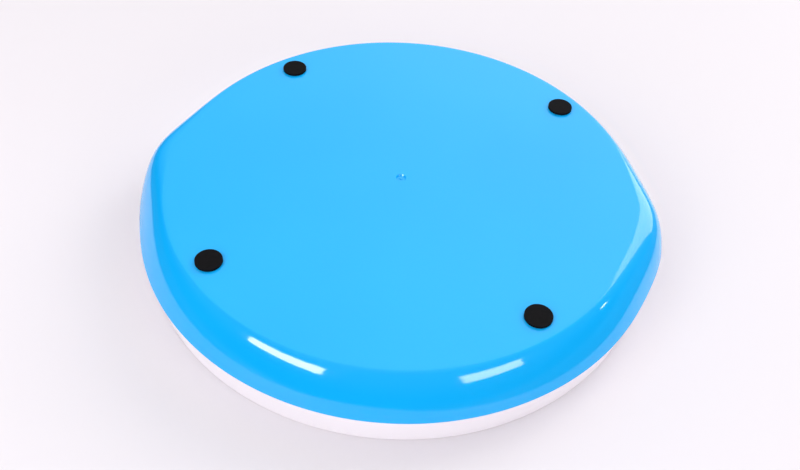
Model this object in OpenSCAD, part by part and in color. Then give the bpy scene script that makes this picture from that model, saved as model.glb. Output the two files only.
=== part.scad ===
// Low rotating tray lying face down: the tray's lip is on the table, the base's feet point up.
// Z is up, X runs through the two grips, and the origin is under the pivot, at the lip's level.

/* [Tray] */
// Outside radius of the tray at its lip
tray_r = 118.7; // [116:0.1:120]
// Draft of the tray's outer wall, as extra radius at the seam
tray_draft = 2; // [0:0.1:3]
// Height of the white band, from the lip to the seam
band_h = 17.2; // [15:0.2:18]
// Wall thickness of the tray
tray_wall = 2.2; // [1.6:0.1:3]
// Depth of the tray's well, from the lip to its floor
well_depth = 18.6; // [18:0.1:19.6]

/* [Base] */
// Height of the base, from its rim to its flat underside
base_h = 18.4; // [18:0.2:24]
// Wall thickness of the base
base_wall = 2.4; // [1.8:0.1:3]
// Radius of the round rim between the grips
rim_r = 122; // [121:0.5:126]
// How far each grip's rounded point reaches from the axis at the rim
rim_tip = 125.5; // [123:0.1:128]
// How narrow each grip is, as the power of a cosine round the rim
grip_focus = 40; // [10:1:60]
// Radius of the round flat underside
flat_r = 109.6; // [106:0.2:112]
// Angle at which the shoulder's curve starts at the rim, 0 for an upright wall
shoulder_start = 26; // [0:1:50]
// Running gap between the tray's band and the base's rim
seam_gap = 0.3; // [0.2:0.1:0.6]
// Diameter of the round recess that the moulding gate leaves
gate_d = 4.8; // [3:0.1:8]

/* [Feet] */
// Diameter of a rubber foot
foot_d = 12; // [8:0.5:16]
// Thickness of the rubber
foot_t = 1.1; // [0.8:0.1:2]
// Thickness of the double-sided tape under it
tape_t = 0.2; // [0.1:0.05:0.4]
// Radius of the circle that the feet stand on
foot_circle_r = 99.2; // [80:0.1:102]
// Turn of the four feet from the diagonals, as they were stuck on
foot_turn = -1.3; // [-5:0.1:5]

/* [Bearing] */
// Number of balls
ball_count = 12; // [8:1:16]
// Diameter of a ball
ball_d = 6; // [5:0.5:6.5]
// Radius of the ball circle
race_r = 64; // [50:1:80]
// Clearance between a ball and its groove or pocket
ball_play = 0.1; // [0.05:0.05:0.2]
// Width of the two moulded race rings
race_w = 9; // [8:0.5:12]

/* [Pivot] */
// Radius of the base's central post
post_r = 5; // [4:0.25:6]
// Running clearance of the post in its bush
post_play = 0.08; // [0.04:0.01:0.1]
// Wall thickness of the bush
bush_wall = 1.9; // [1.5:0.1:2.4]
// Radius of the screw's shank
screw_r = 2; // [1.5:0.25:2.5]
// Radius of the cap over the screw
cap_r = 14; // [12:0.5:18]

/* [Hidden] */
tiny = 0.01;
seam_z = band_h + seam_gap;
flat_z = seam_z + base_h;
outline_step = 3;
shell_levels = 7;
// Powers that round the shoulder between the grips and at a grip, 1 for a quarter ellipse
shell_power = 1.53;
grip_power = 0.67;
gate_depth = 0.8;
lip_r = tray_wall / 2;
body_r = tray_r - 5;
band_in_r = tray_r - tray_wall + 0.75 * tray_draft;
// Levels of the running parts, from the tray's floor up to the base's inner face
floor_top = well_depth;
floor_back = well_depth + tray_wall;
base_in_z = flat_z - base_wall;
ball_z = (floor_back + base_in_z) / 2;
cage_t = 2.4;
race_gap = 4;
tray_race_z = ball_z - race_gap / 2;
base_race_z = ball_z + race_gap / 2;
cage_w = 14;
// Levels and radii of the pivot
bush_r = post_r + post_play + bush_wall;
bush_z0 = floor_back + 2.4;
bush_z1 = base_in_z - 5;
flange_t = 1;
flange_r = bush_r + 2.4;
hub_r = bush_r + 4.4;
counterbore_r = bush_r + 2.3;
post_z0 = bush_z0 - 0.2;
washer_t = 1.2;
washer_r = counterbore_r - 1;
screw_head_r = 4.2;
screw_head_h = 2.6;
screw_len = 9;
pilot_r = screw_r - 0.3;
cap_h = 1;
cap_seat = 1;
cap_ring_h = 2.2;
rib_count = 12;
rib_t = 1.6;
rib_h = 3.4;

// How much of a grip there is at angle a, from 0 between the grips to 1 at a grip's tip
function grip_share(a) = pow(abs(cos(a)), grip_focus);

// Level k of the shell, from 0 at the rim to 1 at the flat, as [height share, cosine share]
function level(k) =
    let (
        a = shoulder_start + (90 - shoulder_start) * k,
        low = pow(sin(shoulder_start), shell_power)
    )
    [
        (pow(sin(a), shell_power) - low) / (1 - low),
        max(cos(a), 0) / cos(shoulder_start)
    ];

// Outline of one level of the shell, moved in by inset
module level_outline(cosine, inset) {
    polygon([for (a = [0 : outline_step : 359])
        let (
            rim_at = rim_r + (rim_tip - rim_r) * grip_share(a),
            power = shell_power + (grip_power - shell_power) * grip_share(a)
        )
        (flat_r + (rim_at - flat_r) * pow(cosine, power) - inset) * [cos(a), sin(a)]]);
}

// The convex body of the shell, from z0 up to z0 + height
module shell_body(z0, height, inset) {
    hull()
        for (i = [0 : shell_levels - 1]) {
            share = level(i / (shell_levels - 1));
            translate([0, 0, z0 + (height - tiny) * share[0]])
                linear_extrude(tiny) level_outline(share[1], inset);
        }
}

// A flat ring
module ring(outer, inner, z0, z1) {
    translate([0, 0, z0])
        difference() {
            cylinder(r = outer, h = z1 - z0, $fn = 96);
            translate([0, 0, -1]) cylinder(r = inner, h = z1 - z0 + 2, $fn = 96);
        }
}

// The ball track, as the solid that is cut out of both race rings
module ball_track() {
    translate([0, 0, ball_z])
        rotate_extrude($fn = 96)
            translate([race_r, 0]) circle(r = ball_d / 2 + ball_play, $fn = 48);
}

// Radial stiffening ribs between the hub and the race ring
module ribs(r0, r1, z0, z1) {
    for (i = [0 : rib_count - 1])
        rotate([0, 0, (i + 0.5) * 360 / rib_count])
            translate([r0, -rib_t / 2, z0]) cube([r1 - r0, rib_t, z1 - z0]);
}

// Places a child at one of the four feet
module at_foot(i) {
    rotate([0, 0, 45 + foot_turn + 90 * (i - 1)]) translate([foot_circle_r, 0, 0]) children();
}

module base_shell() {
    color([0.24, 0.76, 0.99])
    difference() {
        union() {
            difference() {
                shell_body(seam_z, base_h, 0);
                translate([0, 0, -tiny]) shell_body(seam_z, base_h - base_wall, base_wall);
            }
            ring(race_r + race_w / 2, race_r - race_w / 2, base_race_z, base_in_z + tiny);
            ribs(post_r, race_r - race_w / 2 + 1, base_in_z - rib_h, base_in_z + tiny);
            ribs(race_r + race_w / 2 - 1, flat_r - 4, base_in_z - rib_h, base_in_z + tiny);
            translate([0, 0, post_z0]) cylinder(r = post_r, h = base_in_z - post_z0 + tiny, $fn = 64);
            translate([0, 0, bush_z1 + flange_t + 0.2])
                cylinder(r = flange_r, h = base_in_z - bush_z1 - flange_t - 0.2 + tiny, $fn = 64);
        }
        ball_track();
        translate([0, 0, post_z0 - 1]) cylinder(r = pilot_r, h = screw_len + 2, $fn = 48);
        // Gate recess with the stub of the gate left standing in it
        translate([0, 0, flat_z - gate_depth])
            difference() {
                cylinder(d = gate_d, h = 2, $fn = 48);
                cylinder(d = gate_d * 0.3, h = gate_depth / 2, $fn = 32);
            }
    }
}

module foot(i) {
    color([0.11, 0.11, 0.12])
    at_foot(i)
        translate([0, 0, flat_z + tape_t]) cylinder(d = foot_d, h = foot_t, $fn = 64);
}

module foot_tape(i) {
    color([0.85, 0.85, 0.8])
    at_foot(i)
        translate([0, 0, flat_z]) cylinder(d = foot_d - 0.6, h = tape_t, $fn = 64);
}

module turntable_tray() {
    color([0.95, 0.94, 0.96])
    difference() {
        union() {
            // Wall, seam step and floor as one turned profile
            rotate_extrude($fn = 180)
                polygon(concat(
                    [for (a = [180 : 30 : 360])
                        [tray_r - tray_wall / 2 + (tray_wall / 2) * cos(a), lip_r + lip_r * sin(a)]],
                    [
                        [tray_r + tray_draft, band_h],
                        [body_r, band_h],
                        [body_r, floor_back],
                        [0, floor_back],
                        [0, floor_top],
                        [body_r - tray_wall - 2, floor_top],
                        [body_r - tray_wall, floor_top - 2],
                        [body_r - tray_wall, band_h - tray_wall],
                        [band_in_r - 1, band_h - tray_wall],
                        [band_in_r, band_h - tray_wall - 1]
                    ]));
            ring(race_r + race_w / 2, race_r - race_w / 2, floor_back - tiny, tray_race_z);
            ribs(hub_r - 1, race_r - race_w / 2 + 1, floor_back - tiny, floor_back + rib_h);
            ribs(race_r + race_w / 2 - 1, tray_r - 6, floor_back - tiny, floor_back + rib_h);
            translate([0, 0, floor_back - tiny]) cylinder(r = hub_r, h = bush_z1 - floor_back + tiny, $fn = 64);
        }
        ball_track();
        translate([0, 0, floor_top - 1]) cylinder(r = cap_r + 0.1, h = cap_seat + 1, $fn = 96);
        translate([0, 0, floor_top - 1]) cylinder(r = counterbore_r, h = bush_z0 - floor_top + 1, $fn = 64);
        translate([0, 0, floor_top - 1]) cylinder(r = bush_r, h = bush_z1, $fn = 64);
    }
}

module ball_cage() {
    color([0.9, 0.9, 0.86])
    difference() {
        ring(race_r + cage_w / 2, race_r - cage_w / 2, ball_z - cage_t / 2, ball_z + cage_t / 2);
        for (i = [1 : ball_count])
            rotate([0, 0, i * 360 / ball_count])
                translate([race_r, 0, 0]) cylinder(r = ball_d / 2 + ball_play, h = flat_z, $fn = 48);
    }
}

module ball(i) {
    color("silver")
    rotate([0, 0, i * 360 / ball_count])
        translate([race_r, 0, ball_z]) sphere(d = ball_d, $fn = 48);
}

module pivot_bush() {
    color([0.97, 0.96, 0.9])
    difference() {
        union() {
            translate([0, 0, bush_z0]) cylinder(r = bush_r, h = bush_z1 - bush_z0 + tiny, $fn = 64);
            translate([0, 0, bush_z1]) cylinder(r = flange_r, h = flange_t, $fn = 64);
        }
        translate([0, 0, bush_z0 - 1]) cylinder(r = post_r + post_play, h = bush_z1, $fn = 64);
    }
}

module pivot_washer() {
    color("silver")
    ring(washer_r, screw_r + 0.1, post_z0 - washer_t, post_z0);
}

module pivot_screw() {
    head_z = post_z0 - washer_t - screw_head_h;
    color([0.75, 0.76, 0.78])
    difference() {
        union() {
            translate([0, 0, head_z + 0.8]) cylinder(r = screw_head_r, h = screw_head_h - 0.8, $fn = 48);
            translate([0, 0, head_z]) cylinder(r1 = screw_head_r - 0.8, r2 = screw_head_r, h = 0.8, $fn = 48);
            translate([0, 0, head_z + screw_head_h - tiny])
                cylinder(r = screw_r, h = screw_len + washer_t - 1, $fn = 48);
        }
        for (turn = [0, 90])
            rotate([0, 0, turn]) translate([-2.2, -0.45, head_z - 1]) cube([4.4, 0.9, 2.6]);
    }
}

module hub_cap() {
    seat_z = floor_top + cap_seat;
    color([0.95, 0.94, 0.96])
    difference() {
        union() {
            rotate_extrude($fn = 96)
                polygon([
                    [0, seat_z],
                    [cap_r, seat_z],
                    [cap_r, floor_top + 0.2],
                    [cap_r - 0.6, floor_top - 0.3],
                    [cap_r - 4, floor_top - cap_h],
                    [0, floor_top - cap_h]
                ]);
            ring(counterbore_r, counterbore_r - 1.2, seat_z - tiny, floor_top + cap_ring_h);
        }
        translate([0, 0, floor_top + 0.1]) cylinder(r = counterbore_r - 1.2, h = cap_ring_h, $fn = 64);
    }
}

base_shell();
for (i = [1:4]) {
    foot(i);
    foot_tape(i);
}
turntable_tray();
ball_cage();
for (i = [1:ball_count])
    ball(i);
pivot_bush();
pivot_washer();
pivot_screw();
hub_cap();
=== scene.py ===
import math

import bmesh
import bpy
from mathutils import Matrix, Vector


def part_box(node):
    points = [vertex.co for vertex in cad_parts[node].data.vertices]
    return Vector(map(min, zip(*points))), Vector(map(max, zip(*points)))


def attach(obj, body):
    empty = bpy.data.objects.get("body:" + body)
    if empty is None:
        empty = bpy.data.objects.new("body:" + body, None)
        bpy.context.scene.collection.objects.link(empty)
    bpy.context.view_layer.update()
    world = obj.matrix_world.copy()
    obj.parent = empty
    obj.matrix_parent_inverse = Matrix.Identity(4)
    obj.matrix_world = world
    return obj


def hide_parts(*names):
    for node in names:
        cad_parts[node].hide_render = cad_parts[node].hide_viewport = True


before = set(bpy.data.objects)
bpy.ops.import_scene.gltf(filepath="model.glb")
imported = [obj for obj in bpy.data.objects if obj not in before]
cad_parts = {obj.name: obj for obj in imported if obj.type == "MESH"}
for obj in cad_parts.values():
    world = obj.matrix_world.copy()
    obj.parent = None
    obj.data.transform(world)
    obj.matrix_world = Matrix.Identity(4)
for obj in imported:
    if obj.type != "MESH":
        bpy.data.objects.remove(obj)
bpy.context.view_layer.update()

# ---- Camera -------------------------------------------------------------------------------------
# Looks down at the upturned tray at about 45 degrees, a little from its right, and tipped a few
# degrees so that the right-hand grip sits lower than the left-hand one.
RIM_R = 0.122
shell_low, shell_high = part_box("base_shell")
SEAM = Vector((0, 0, shell_low.z))
CAMERA_AZIMUTH = math.radians(6.9)
CAMERA_ELEVATION = math.radians(44.4)
CAMERA_ROLL = math.radians(3.3)
CAMERA_DISTANCE = 3.746 * RIM_R
camera_back = Vector((
    math.sin(CAMERA_AZIMUTH) * math.cos(CAMERA_ELEVATION),
    -math.cos(CAMERA_AZIMUTH) * math.cos(CAMERA_ELEVATION),
    math.sin(CAMERA_ELEVATION),
))
camera = bpy.data.objects.new("camera", bpy.data.cameras.new("camera"))
bpy.context.scene.collection.objects.link(camera)
camera.data.sensor_width = 36
camera.data.lens = 42.57
camera.data.shift_x = 0.0007
camera.data.shift_y = -0.0369
camera.data.clip_start = 0.01
camera.location = SEAM + camera_back * CAMERA_DISTANCE
camera.rotation_mode = "QUATERNION"
camera.rotation_quaternion = (
    camera_back.to_track_quat("Z", "Y") @ Matrix.Rotation(CAMERA_ROLL, 3, "Z").to_quaternion()
)
bpy.context.scene.camera = camera

# ---- Base shell ---------------------------------------------------------------------------------
# The blue base is one injection-moulded polypropylene shell, glossy outside, about 2.4 mm thick.
# Its rim swells into two blunt grips, and the gate that filled the mould left a dimple in the middle.
FLAT_Z = shell_high.z
BASE_H = FLAT_Z - SEAM.z
BASE_WALL = 0.0024
RIM_TIP, GRIP_FOCUS = 0.1255, 40
FLAT_R = 0.1096
SHOULDER_START = math.radians(26)
SHOULDER_POWER, GRIP_POWER = 1.53, 0.67
RIM_SEGMENTS = 360


def shell_ring(turn, inset):
    """One level of the shell, from turn 0 at the rim to 1 at the flat: radius by angle, and height."""
    a = SHOULDER_START + (math.pi / 2 - SHOULDER_START) * turn
    low = math.sin(SHOULDER_START) ** SHOULDER_POWER
    rise = (math.sin(a) ** SHOULDER_POWER - low) / (1 - low)
    cosine = max(math.cos(a), 0) / math.cos(SHOULDER_START)

    def radius_at(angle):
        grip_share = abs(math.cos(angle)) ** GRIP_FOCUS
        rim_at = RIM_R + (RIM_TIP - RIM_R) * grip_share
        power = SHOULDER_POWER + (GRIP_POWER - SHOULDER_POWER) * grip_share
        return FLAT_R + (rim_at - FLAT_R) * cosine ** power - inset

    return radius_at, SEAM.z + (FLAT_Z - inset - SEAM.z) * rise


def round_ring(radius, z):
    return lambda a: radius, z


def skin(name, rings, segments, closed_loop=False):
    """A mesh piece swept round the axis through rings; rings of radius 0 close it at the axis."""
    made = bmesh.new()
    rows = []
    for radius_at, z in rings:
        if radius_at(0) == 0:
            rows.append([made.verts.new((0, 0, z))])
            continue
        rows.append([
            made.verts.new((radius_at(a) * math.cos(a), radius_at(a) * math.sin(a), z))
            for a in (2 * math.pi * i / segments for i in range(segments))
        ])
    pairs = list(zip(rows, rows[1:]))
    if closed_loop:
        pairs.append((rows[-1], rows[0]))
    for low, high in pairs:
        for i in range(segments):
            j = (i + 1) % segments
            if len(low) == 1:
                made.faces.new((low[0], high[i], high[j]))
            elif len(high) == 1:
                made.faces.new((low[i], high[0], low[j]))
            else:
                made.faces.new((low[i], high[i], high[j], low[j]))
    bmesh.ops.recalc_face_normals(made, faces=made.faces)
    mesh = bpy.data.meshes.new(name)
    made.to_mesh(mesh)
    made.free()
    mesh.shade_smooth()
    mesh.set_sharp_from_angle(angle=math.radians(40))
    piece = bpy.data.objects.new(name, mesh)
    bpy.context.scene.collection.objects.link(piece)
    return piece


# The recess where the mould fed in has a steep wall, and a stub of the cut gate stands in its floor
GATE_R, GATE_FLOOR_R, GATE_DEPTH = 0.0024, 0.00184, 0.0008
STUB_R, STUB_TOP_R, STUB_TOP, STUB_CROWN = 0.00072, 0.00046, 0.0004, 0.00002
GATE_FLOOR_Z = FLAT_Z - GATE_DEPTH
gate_rings = [
    round_ring(0, GATE_FLOOR_Z + STUB_TOP + STUB_CROWN),
    round_ring(STUB_TOP_R, GATE_FLOOR_Z + STUB_TOP),
    round_ring(STUB_R, GATE_FLOOR_Z),
    round_ring(GATE_FLOOR_R, GATE_FLOOR_Z),
    round_ring(GATE_R, FLAT_Z),
]
FLAT_SHARES = (0.1, 0.3, 0.5, 0.7, 0.85, 0.95, 0.985)
OUTER_LEVELS, INNER_LEVELS = 48, 16
shell_rings = (
    gate_rings
    + [round_ring(FLAT_R * share, FLAT_Z) for share in FLAT_SHARES]
    + [shell_ring(1 - i / OUTER_LEVELS, 0) for i in range(OUTER_LEVELS + 1)]
    + [shell_ring(i / INNER_LEVELS, BASE_WALL) for i in range(INNER_LEVELS + 1)]
    + [round_ring(0, FLAT_Z - BASE_WALL)]
)
base = skin("base_shell_moulding", shell_rings, RIM_SEGMENTS)


def new_material(name):
    """An empty node material with a Principled shader; returns its nodes, links and shader."""
    material = bpy.data.materials.new(name)
    material.use_nodes = True
    tree = material.node_tree
    return material, tree.nodes, tree.links, tree.nodes["Principled BSDF"]


def grain(nodes, links, scale, detail=2.0, stretch=(1, 1, 1)):
    """Noise fixed to the piece, at scale waves per metre."""
    place = nodes.new("ShaderNodeTexCoord")
    spread = nodes.new("ShaderNodeMapping")
    spread.inputs["Scale"].default_value = stretch
    noise = nodes.new("ShaderNodeTexNoise")
    noise.inputs["Scale"].default_value = scale
    noise.inputs["Detail"].default_value = detail
    links.new(place.outputs["Object"], spread.inputs["Vector"])
    links.new(spread.outputs["Vector"], noise.inputs["Vector"])
    return noise.outputs["Fac"]


def ramp(nodes, links, factor, low, high, start=0.35, end=0.65):
    """Turns a factor into a colour or a grey between low and high."""
    stops = nodes.new("ShaderNodeValToRGB")
    stops.color_ramp.elements[0].position = start
    stops.color_ramp.elements[1].position = end
    stops.color_ramp.elements[0].color = (*low, 1)
    stops.color_ramp.elements[1].color = (*high, 1)
    links.new(factor, stops.inputs["Fac"])
    return stops.outputs["Color"]


def bump(nodes, links, shader, height, strength, distance):
    relief = nodes.new("ShaderNodeBump")
    relief.inputs["Strength"].default_value = strength
    relief.inputs["Distance"].default_value = distance
    links.new(height, relief.inputs["Height"])
    links.new(relief.outputs["Normal"], shader.inputs["Normal"])


blue, nodes, links, shader = new_material("blue_gloss_polypropylene")
links.new(
    ramp(nodes, links, grain(nodes, links, 9), (0.0035, 0.432, 0.96), (0.0060, 0.452, 0.98)),
    shader.inputs["Base Color"],
)
links.new(
    ramp(nodes, links, grain(nodes, links, 160, 4), (0.055,) * 3, (0.085,) * 3),
    shader.inputs["Roughness"],
)
bump(nodes, links, shader, grain(nodes, links, 70), 0.05, 0.0002)
shader.inputs["IOR"].default_value = 1.5
base.data.materials.append(blue)
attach(base, "base")
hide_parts("base_shell")

# ---- Base: race, post and ribs ------------------------------------------------------------------
# The inner face of the same moulding carries the upper ball race, a post with a pilot hole for the
# pivot screw, a thrust boss round it, and twelve stiffening ribs each side of the race.
BASE_IN_Z = FLAT_Z - BASE_WALL
BALL_Z, BALL_CIRCLE_R, GROOVE_R = 0.02715, 0.0640, 0.0031
RACE_HALF_W, RACE_Z = 0.0045, BALL_Z + 0.002
groove_edge = math.asin((RACE_Z - BALL_Z) / GROOVE_R)
groove = [groove_edge + (math.pi - 2 * groove_edge) * i / 10 for i in range(11)]
race_outer_r, race_inner_r = BALL_CIRCLE_R + RACE_HALF_W, BALL_CIRCLE_R - RACE_HALF_W
RACE_SEGMENTS, POST_SEGMENTS = 180, 96
race = skin(
    "base_race",
    [round_ring(race_outer_r, BASE_IN_Z), round_ring(race_outer_r, RACE_Z)]
    + [
        round_ring(BALL_CIRCLE_R + GROOVE_R * math.cos(t), BALL_Z + GROOVE_R * math.sin(t))
        for t in groove
    ]
    + [round_ring(race_inner_r, RACE_Z), round_ring(race_inner_r, BASE_IN_Z)],
    RACE_SEGMENTS,
    closed_loop=True,
)
POST_R, POST_Z, PILOT_R, PILOT_Z = 0.0050, 0.0230, 0.0017, 0.0330
BOSS_R, BOSS_Z = 0.00938, 0.0297
post = skin(
    "base_post",
    [
        round_ring(0, PILOT_Z),
        round_ring(PILOT_R, PILOT_Z),
        round_ring(PILOT_R, POST_Z),
        round_ring(POST_R, POST_Z),
        round_ring(POST_R, BOSS_Z),
        round_ring(BOSS_R, BOSS_Z),
        round_ring(BOSS_R, BASE_IN_Z),
        round_ring(0, BASE_IN_Z),
    ],
    POST_SEGMENTS,
)
RIB_COUNT, RIB_T, RIB_H = 12, 0.0016, 0.0034
RIB_SPANS = ((POST_R, 0.0605), (0.0675, FLAT_R - 0.004))
rib_mesh = bmesh.new()
for i in range(RIB_COUNT):
    turn = Matrix.Rotation((i + 0.5) * 2 * math.pi / RIB_COUNT, 4, "Z")
    for start, end in RIB_SPANS:
        centre = Matrix.Translation(((start + end) / 2, 0, BASE_IN_Z - RIB_H / 2))
        extent = Matrix.Diagonal((end - start, RIB_T, RIB_H, 1))
        bmesh.ops.create_cube(rib_mesh, size=1, matrix=turn @ centre @ extent)
mesh = bpy.data.meshes.new("base_ribs")
rib_mesh.to_mesh(mesh)
rib_mesh.free()
ribs = bpy.data.objects.new("base_ribs", mesh)
bpy.context.scene.collection.objects.link(ribs)
for piece in (race, post, ribs):
    piece.data.materials.append(blue)
    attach(piece, "base")

# ---- Turntable tray -----------------------------------------------------------------------------
# The white tray is a second polypropylene moulding with a fine satin finish. It turns under the base's
# rim, and it lies on its lip while the article is face down.
white, nodes, links, shader = new_material("white_satin_polypropylene")
links.new(
    ramp(nodes, links, grain(nodes, links, 14), (0.96, 0.91, 0.96), (0.98, 0.93, 0.98)),
    shader.inputs["Base Color"],
)
links.new(
    ramp(nodes, links, grain(nodes, links, 240, 4), (0.30,) * 3, (0.38,) * 3),
    shader.inputs["Roughness"],
)
bump(nodes, links, shader, grain(nodes, links, 900), 0.08, 0.0001)


def dress(name, material):
    """Gives a CAD piece its material and smooth curved faces with crisp edges."""
    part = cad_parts[name]
    part.data.materials.clear()
    part.data.materials.append(material)
    part.data.shade_smooth()
    part.data.set_sharp_from_angle(angle=math.radians(32))
    return part


for name in ("turntable_tray", "hub_cap"):
    dress(name, white)

# ---- Feet ---------------------------------------------------------------------------------------
# Each foot is a disc die-cut from black rubber sheet, stuck to the flat with double-sided tape.
rubber, nodes, links, shader = new_material("black_rubber_sheet")
links.new(
    ramp(nodes, links, grain(nodes, links, 700, 5), (0.0022, 0.0022, 0.0028), (0.0045, 0.004, 0.005)),
    shader.inputs["Base Color"],
)
shader.inputs["Roughness"].default_value = 0.8
shader.inputs["Specular IOR Level"].default_value = 0.12
bump(nodes, links, shader, grain(nodes, links, 2500, 3), 0.35, 0.0001)
tape, nodes, links, shader = new_material("adhesive_tape")
links.new(
    ramp(nodes, links, grain(nodes, links, 500), (0.02, 0.02, 0.02), (0.035, 0.035, 0.035)),
    shader.inputs["Base Color"],
)
shader.inputs["Roughness"].default_value = 0.6
for i in range(1, 5):
    foot = dress(f"foot_{i}", rubber)
    edge = foot.modifiers.new("worn_edge", "BEVEL")
    edge.width = 0.00018
    edge.segments = 2
    edge.limit_method = "ANGLE"
    dress(f"foot_tape_{i}", tape)

# ---- Bearing and pivot --------------------------------------------------------------------------
# Twelve steel balls run in a moulded cage between the two mouldings. A flanged bush, a washer and a
# plated cross-recess screw hold the tray on the base's post.
natural, nodes, links, shader = new_material("natural_acetal")
links.new(
    ramp(nodes, links, grain(nodes, links, 30), (0.78, 0.76, 0.68), (0.83, 0.81, 0.74)),
    shader.inputs["Base Color"],
)
shader.inputs["Roughness"].default_value = 0.4
steel, nodes, links, shader = new_material("zinc_plated_steel")
links.new(
    ramp(nodes, links, grain(nodes, links, 400, 4), (0.62, 0.63, 0.65), (0.74, 0.75, 0.78)),
    shader.inputs["Base Color"],
)
links.new(
    ramp(nodes, links, grain(nodes, links, 900, 3), (0.18,) * 3, (0.3,) * 3),
    shader.inputs["Roughness"],
)
shader.inputs["Metallic"].default_value = 1.0
finishes = {"ball_cage": natural, "pivot_bush": natural, "pivot_washer": steel, "pivot_screw": steel}
finishes.update({f"ball_{i}": steel for i in range(1, 13)})
for name, finish in finishes.items():
    dress(name, finish)

# ---- Table and light ----------------------------------------------------------------------------
# A pale table in a white studio: a broad white backdrop behind, two softboxes in front, and a soft
# fill, some of them split into one light for matte rays and one for glossy rays. The room looks pale
# to the camera and dim near the horizon to all other rays, so the shoulder of the base mirrors it.
bpy.ops.mesh.primitive_circle_add(vertices=96, radius=3, fill_type="NGON", location=(0, 0, 0))
table = bpy.context.object
table.name = "table"
paper, nodes, links, shader = new_material("table_paper")
shader.inputs["Roughness"].default_value = 0.6
shader.inputs["Specular IOR Level"].default_value = 0.2
# The table is pale to the camera all over; beyond a band 0.41 m wide its colour turns near black for
# glossy rays only, a painted dark reflection for the glossy base to mirror
REFLECTION_BAND_X, REFLECTION_BAND_HALF = -0.015, 0.205
PAPER = (0.812, 0.776, 0.802, 1)
# Near-black colour seen only in reflections: a painted dark reflection, not a real floor
PAINTED_REFLECTION_DARK = (0.05, 0.05, 0.05, 1)
across = nodes.new("ShaderNodeSeparateXYZ")
links.new(nodes.new("ShaderNodeNewGeometry").outputs["Position"], across.inputs["Vector"])
steps = []
for operation, value in (("SUBTRACT", REFLECTION_BAND_X), ("ABSOLUTE", 0.0), ("GREATER_THAN", REFLECTION_BAND_HALF)):
    step = nodes.new("ShaderNodeMath")
    step.operation = operation
    step.inputs[1].default_value = value
    links.new(steps[-1].outputs["Value"] if steps else across.outputs["X"], step.inputs[0])
    steps.append(step)
# Mask of the painted dark reflection: outside the band, and only for glossy rays
painted_reflection_mask = nodes.new("ShaderNodeMath")
painted_reflection_mask.operation = "MULTIPLY"
links.new(steps[-1].outputs["Value"], painted_reflection_mask.inputs[0])
links.new(nodes.new("ShaderNodeLightPath").outputs["Is Glossy Ray"], painted_reflection_mask.inputs[1])
surface = nodes.new("ShaderNodeMix")
surface.data_type = "RGBA"
links.new(painted_reflection_mask.outputs["Value"], surface.inputs["Factor"])
surface.inputs["A"].default_value = PAPER
surface.inputs["B"].default_value = PAINTED_REFLECTION_DARK
links.new(surface.outputs["Result"], shader.inputs["Base Color"])
table.data.materials.append(paper)

world = bpy.data.worlds.new("studio")
bpy.context.scene.world = world
world.use_nodes = True
nodes, links = world.node_tree.nodes, world.node_tree.links
room = nodes["Background"]
room.inputs["Color"].default_value = (0.98, 0.96, 1, 1)
rays = nodes.new("ShaderNodeLightPath")


def pick(ray_kind, strength_if, strength_else):
    """Room brightness for one kind of ray, and for all the others."""
    choice = nodes.new("ShaderNodeMix")
    links.new(rays.outputs[ray_kind], choice.inputs["Factor"])
    for socket, strength in (("B", strength_if), ("A", strength_else)):
        if isinstance(strength, float):
            choice.inputs[socket].default_value = strength
        else:
            links.new(strength, choice.inputs[socket])
    return choice.outputs["Result"]


# Brightness of the room with height: dark at the horizon in front, a dim ceiling overhead
direction = nodes.new("ShaderNodeTexCoord").outputs["Generated"]
split = nodes.new("ShaderNodeSeparateXYZ")
links.new(direction, split.inputs["Vector"])
height = nodes.new("ShaderNodeValToRGB")
links.new(split.outputs["Z"], height.inputs["Fac"])
stops = ((0.10, 0.02), (0.23, 0.09), (0.37, 0.19), (0.63, 0.28), (0.80, 0.46), (0.98, 0.88))
while len(height.color_ramp.elements) < len(stops):
    height.color_ramp.elements.new(0.5)
for element, (place, level) in zip(height.color_ramp.elements, stops):
    element.position = place
    element.color = (level, level, level, 1)


def math_node(operation, first, second):
    """One arithmetic step between sockets or numbers."""
    step = nodes.new("ShaderNodeMath")
    step.operation = operation
    for socket, value in zip(step.inputs, (first, second)):
        if isinstance(value, (int, float)):
            socket.default_value = value
        else:
            links.new(value, socket)
    return step.outputs["Value"]


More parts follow.
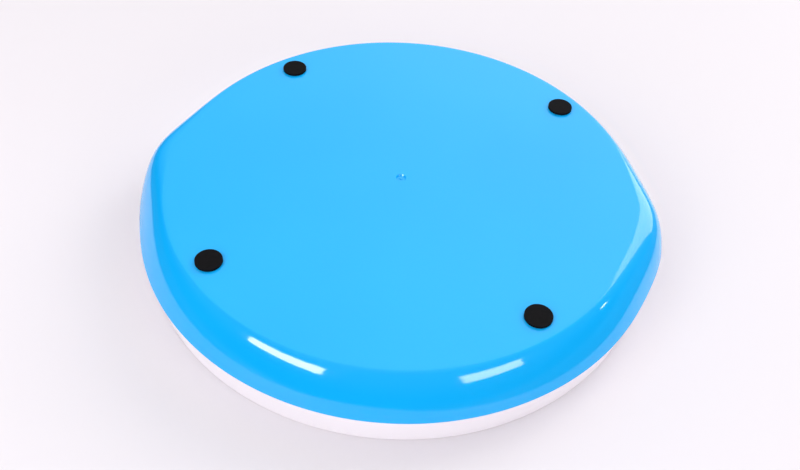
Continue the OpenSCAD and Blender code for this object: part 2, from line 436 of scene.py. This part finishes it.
# The white backdrop behind and to the right, brightest low down
toward = nodes.new("ShaderNodeVectorMath")
toward.operation = "DOT_PRODUCT"
links.new(direction, toward.inputs[0])
BACKDROP_AZIMUTH, BACKDROP_ELEVATION, BACKDROP_LEVEL = math.radians(74), math.radians(24), 1.45
toward.inputs[1].default_value = (
    math.cos(BACKDROP_AZIMUTH) * math.cos(BACKDROP_ELEVATION),
    math.sin(BACKDROP_AZIMUTH) * math.cos(BACKDROP_ELEVATION),
    math.sin(BACKDROP_ELEVATION),
)
lobe = math_node("POWER", math_node("MAXIMUM", toward.outputs["Value"], 0.0), 5.0)
room_level = math_node("ADD", height.outputs["Color"], math_node("MULTIPLY", lobe, BACKDROP_LEVEL))
PALE_ROOM = 0.93
links.new(pick("Is Camera Ray", PALE_ROOM, room_level), room.inputs["Strength"])


def softbox(name, azimuth, elevation, width, height, radiance, distance=1.2, rays="both"):
    """A rectangular light seen from the object in a direction, with a width and height in degrees."""
    a, e = math.radians(azimuth), math.radians(elevation)
    out = Vector((math.cos(a) * math.cos(e), math.sin(a) * math.cos(e), math.sin(e)))
    lamp = bpy.data.objects.new(name, bpy.data.lights.new(name, "AREA"))
    lamp.data.shape = "RECTANGLE"
    lamp.data.size = 2 * distance * math.tan(math.radians(width / 2))
    lamp.data.size_y = 2 * distance * math.tan(math.radians(height / 2))
    lamp.data.energy = radiance * math.pi * lamp.data.size * lamp.data.size_y
    lamp.location = out * distance
    lamp.rotation_mode = "QUATERNION"
    lamp.rotation_quaternion = out.to_track_quat("Z", "Y")
    lamp.visible_camera = False
    lamp.visible_diffuse = rays != "gloss"
    lamp.visible_glossy = rays != "matte"
    bpy.context.scene.collection.objects.link(lamp)
    return lamp


softbox("left_softbox", -122, 31, 38, 32, 3.6, rays="matte")
softbox("left_sheen", -123, 24, 28, 10, 18.0, distance=1.1, rays="gloss")
softbox("right_softbox", -40, 18, 32, 26, 3.1, rays="matte")
softbox("right_sheen", -45, 21.5, 22, 10, 9.5, distance=1.1, rays="gloss")
softbox("rear_softbox", 46, 27, 36, 46, 2.7, distance=1.6)
softbox("left_fill", 160, 42, 70, 50, 0.75, distance=1.6, rays="matte")
softbox("side_glint", 5, 12.5, 3, 2, 18.0, rays="gloss")
bpy.context.scene.view_settings.view_transform = "Standard"
